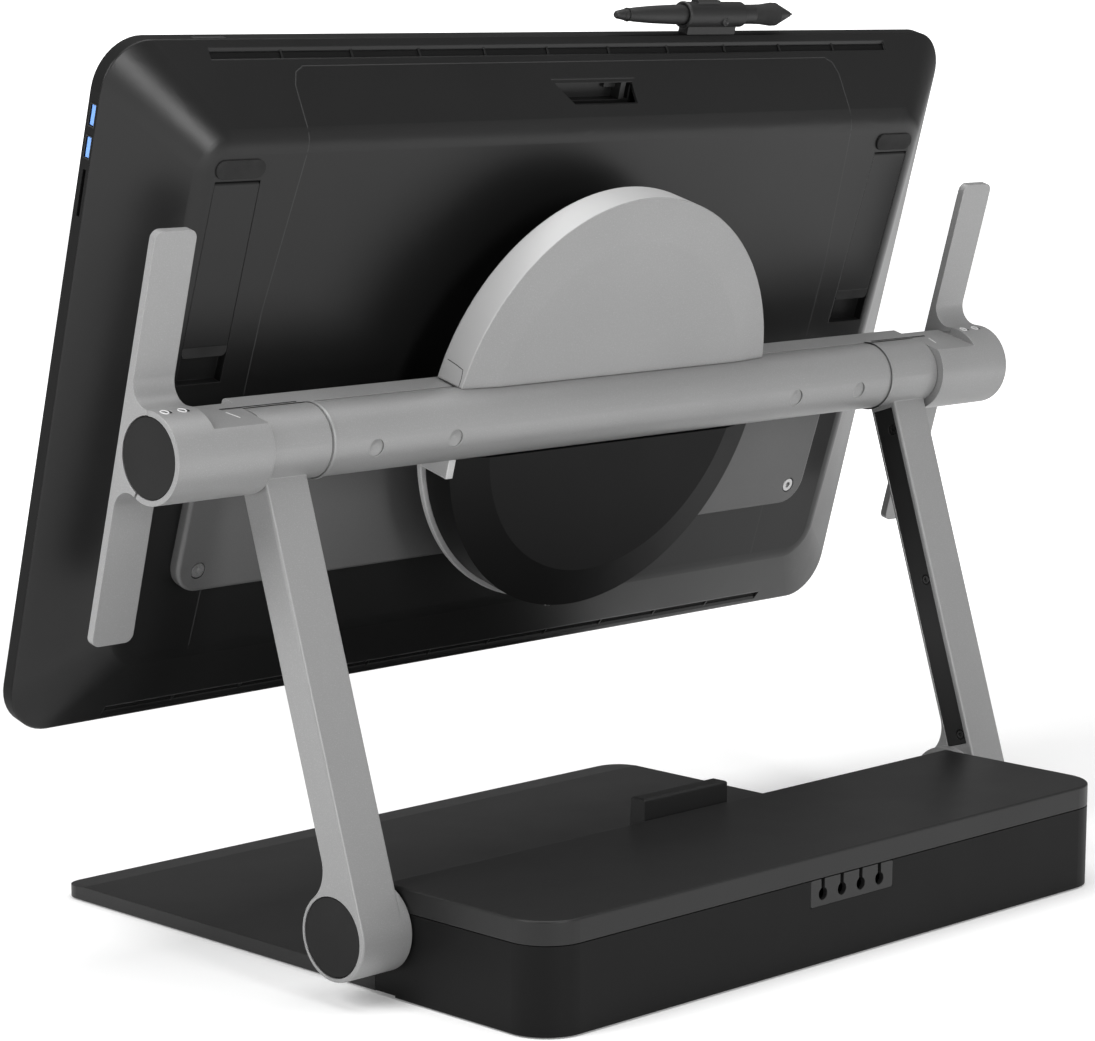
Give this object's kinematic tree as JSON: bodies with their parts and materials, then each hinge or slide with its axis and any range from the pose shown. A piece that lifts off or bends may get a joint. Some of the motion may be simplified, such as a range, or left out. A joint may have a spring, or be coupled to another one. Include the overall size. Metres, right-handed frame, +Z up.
{
  "type": "pen display tablet on stand",
  "caption": "Wide pen display held on a two-arm reclining stand with a turning disc, release levers, weighted base, lidded cable bay and a clipped pen.",
  "frame": {"origin": "on the desk, under the middle of the whole object's box seen from above", "axes": "+Z up, the screen faces -Y, +X along the cross tube towards the side with the sockets"},
  "size_m": [0.6812, 0.4128, 0.5287],
  "materials": {
    "grey_aluminium": "satin grey paint on die-cast aluminium",
    "grey_plastic": "satin grey",
    "black_plastic": "satin black",
    "black_frame": "satin black",
    "dark_grey_plastic": "satin dark grey",
    "dark_cap": "matt, fine-grained",
    "black_steel": "satin black paint on steel plate",
    "cast_iron": "rough cast",
    "rubber": "matt",
    "steel": "brushed",
    "spring_steel": "oiled",
    "dark_steel": "blackened",
    "grey_screw": "satin grey",
    "brass": "turned",
    "front_glass": "etched, low sheen",
    "lcd": "gloss",
    "pcb": "solder resist",
    "inner_aluminium": "pressed",
    "vent_mesh": "fine mesh",
    "blue_plastic": "gloss",
    "pen_plastic": "matt"
  },
  "bodies": {
    "base": {"base_plate": "black_plastic", "base_weight": "black_steel", "rear_box": "black_plastic", "cable_organizer": "dark_grey_plastic", "display_stop": "black_plastic", "ballast_block": "cast_iron", "base_feet": "rubber", "base_screws": "dark_steel", "hub_spindles": "steel"},
    "lid": {"base_lid": "black_plastic"},
    "arms": {"left_arm": "grey_aluminium", "right_arm": "grey_aluminium", "left_cable_cover": "black_plastic", "right_cable_cover": "black_plastic", "cover_screws": "dark_steel", "hub_caps": "dark_cap", "hub_bushes": "brass", "knuckle_bushes": "brass", "hub_springs": "spring_steel"},
    "head": {"head_beam": "grey_aluminium", "tube_cover": "grey_plastic", "tube_cover_screws": "grey_screw", "tilt_shafts": "steel", "brake_discs": "steel", "head_caps": "dark_cap", "sleeve_screws": "steel", "disc_cover_upper": "grey_plastic", "disc_cover_lower": "black_plastic", "disc_trim": "grey_plastic", "rotor_plate": "black_steel"},
    "left_lever": {"left_lever": "grey_aluminium"},
    "right_lever": {"right_lever": "grey_aluminium"},
    "display": {"front_glass": "front_glass", "front_frame": "black_frame", "usb_ports": "steel", "usb_tongues": "blue_plastic", "lcd_panel": "lcd", "digitizer_board": "pcb", "mid_frame": "inner_aluminium", "main_board": "pcb", "heat_sink": "inner_aluminium", "back_cover": "black_plastic", "pocket_latch": "dark_grey_plastic", "vent_screens": "vent_mesh", "rear_pads": "rubber", "leg_pins": "steel", "adapter_plate": "grey_aluminium", "adapter_screws": "steel", "turntable_ring": "dark_grey_plastic", "rotation_axle": "steel", "pen_holder": "black_plastic"},
    "left_leg": {"left_leg": "black_plastic", "left_leg_foot": "rubber"},
    "right_leg": {"right_leg": "black_plastic", "right_leg_foot": "rubber"},
    "power_button": {"power_button": "dark_grey_plastic"},
    "pen": {"pen_body": "pen_plastic", "pen_eraser": "pen_plastic", "pen_grip": "rubber", "pen_tip": "pen_plastic"}
  },
  "joints": [
    {"name": "lid_lift", "type": "slide", "parent": "base", "child": "lid", "axis": [0, 0, 1], "range_m": [0, 0.08]},
    {"name": "arms_lift", "type": "hinge", "parent": "base", "child": "arms", "pos_m": [0, 0.0821, 0.0392], "axis": [1, 0, 0], "range_deg": [-8, 25]},
    {"name": "head_tilt", "type": "hinge", "parent": "arms", "child": "head", "pos_m": [0, 0.0193, 0.2945], "axis": [-1, 0, 0], "range_deg": [-2, 57]},
    {"name": "left_lever_pull", "type": "hinge", "parent": "head", "child": "left_lever", "pos_m": [0, 0.0193, 0.2945], "axis": [1, 0, 0], "range_deg": [0, 3], "stiffness_Nm_per_rad": 3, "springref_deg": -8.59},
    {"name": "right_lever_pull", "type": "hinge", "parent": "head", "child": "right_lever", "pos_m": [0, 0.0193, 0.2945], "axis": [1, 0, 0], "range_deg": [0, 3], "stiffness_Nm_per_rad": 3, "springref_deg": -8.59},
    {"name": "display_rotation", "type": "hinge", "parent": "head", "child": "display", "pos_m": [0, 0.0193, 0.2945], "axis": [0, -0.9643, 0.2649], "range_deg": [-20, 20]},
    {"name": "left_leg_fold", "type": "hinge", "parent": "display", "child": "left_leg", "pos_m": [0.267, 0.00173, 0.43131], "axis": [1, 0, 0], "range_deg": [0, 80]},
    {"name": "right_leg_fold", "type": "hinge", "parent": "display", "child": "right_leg", "pos_m": [-0.267, 0.00173, 0.43131], "axis": [-1, 0, 0], "range_deg": [-80, 0]},
    {"name": "pen_slide", "type": "slide", "parent": "display", "child": "pen", "axis": [-1, 0, 0], "range_m": [0, 0.08]},
    {"name": "button_press", "type": "slide", "parent": "display", "child": "power_button", "axis": [0, -0.2649, -0.9643], "range_m": [0, 0.0005], "stiffness_N_per_m": 800, "springref_m": -0.001}
  ]
}
